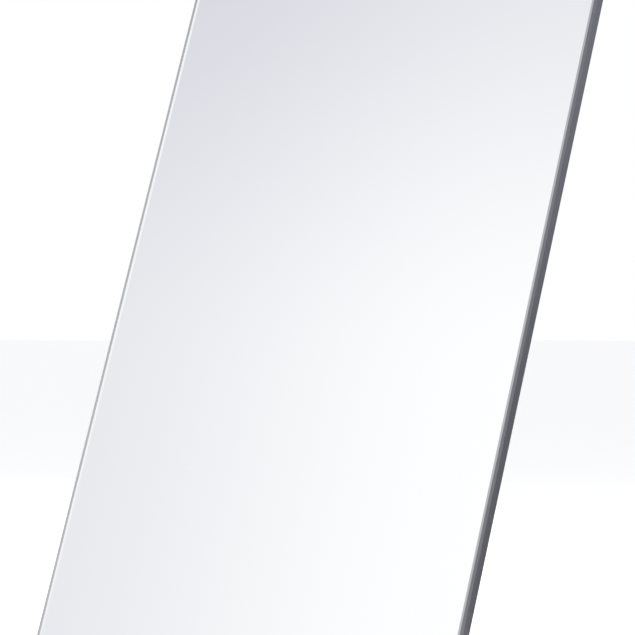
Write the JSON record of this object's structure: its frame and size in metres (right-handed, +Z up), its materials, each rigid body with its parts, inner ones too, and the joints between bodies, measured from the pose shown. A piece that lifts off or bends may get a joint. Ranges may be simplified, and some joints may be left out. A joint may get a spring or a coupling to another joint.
{
  "type": "tabletop makeup mirror",
  "caption": "Tall rectangular makeup mirror in a thin brushed metal frame, leaning back on a folding rod stand, with rings at the back for hanging.",
  "frame": {"origin": "middle of the footprint, on the surface the mirror stands on", "axes": "+Z up, the mirror faces -Y and leans back towards +Y, +X to the right of a person who looks into it"},
  "size_m": [0.35, 0.2182, 0.5135],
  "materials": {
    "frame_aluminium": "brushed, clear anodised",
    "dark_screws": "black oxide",
    "zinc_plate": "zinc plated sheet",
    "rivet_steel": "zinc plated, domed",
    "mirror_silver": "silvered float glass",
    "film": "thin polyethylene film",
    "foam": "thin white foam",
    "hardboard": "dark brown hardboard, screened back",
    "bolt_zinc": "zinc plated",
    "nylon": "natural nylon",
    "spring_steel": "phosphated spring steel",
    "stand_rod": "satin nickel plated rod",
    "rubber": "matt black rubber",
    "ring_wire": "bright zinc wire"
  },
  "bodies": {
    "mirror": {"top_rail": "frame_aluminium", "bottom_rail": "frame_aluminium", "left_rail": "frame_aluminium", "right_rail": "frame_aluminium", "corner_key_top_left": "zinc_plate", "corner_key_top_right": "zinc_plate", "corner_key_bottom_left": "zinc_plate", "corner_key_bottom_right": "zinc_plate", "corner_key_screws": "dark_screws", "mirror_glass": "mirror_silver", "safety_film": "film", "foam_sheet": "foam", "backing_board": "hardboard", "hinge_bracket_left": "zinc_plate", "hinge_bracket_right": "zinc_plate", "bracket_rivets": "rivet_steel", "pivot_bolt_left": "bolt_zinc", "pivot_bolt_right": "bolt_zinc", "friction_washers": "nylon", "disc_springs": "spring_steel", "lock_nuts": "bolt_zinc", "hanger_strap_left": "zinc_plate", "hanger_strap_right": "zinc_plate", "hanger_rivets": "rivet_steel", "foot_left": "rubber", "foot_right": "rubber"},
    "stand": {"stand_loop": "stand_rod", "stand_sleeve": "rubber"},
    "ring_left": {"hanger_ring_left": "ring_wire"},
    "ring_right": {"hanger_ring_right": "ring_wire"}
  },
  "joints": [
    {"name": "stand_hinge", "type": "hinge", "parent": "mirror", "child": "stand", "pos_m": [0, 0.01924, 0.27729], "axis": [1, 0, 0], "range_deg": [-36.67, 18.7]},
    {"name": "ring_left_swing", "type": "hinge", "parent": "mirror", "child": "ring_left", "pos_m": [-0.11, 0.06324, 0.39978], "axis": [1, 0, 0], "range_deg": [-21.4, 150]},
    {"name": "ring_right_swing", "type": "hinge", "parent": "mirror", "child": "ring_right", "pos_m": [0.11, 0.06324, 0.39978], "axis": [1, 0, 0], "range_deg": [-21.4, 150]}
  ]
}
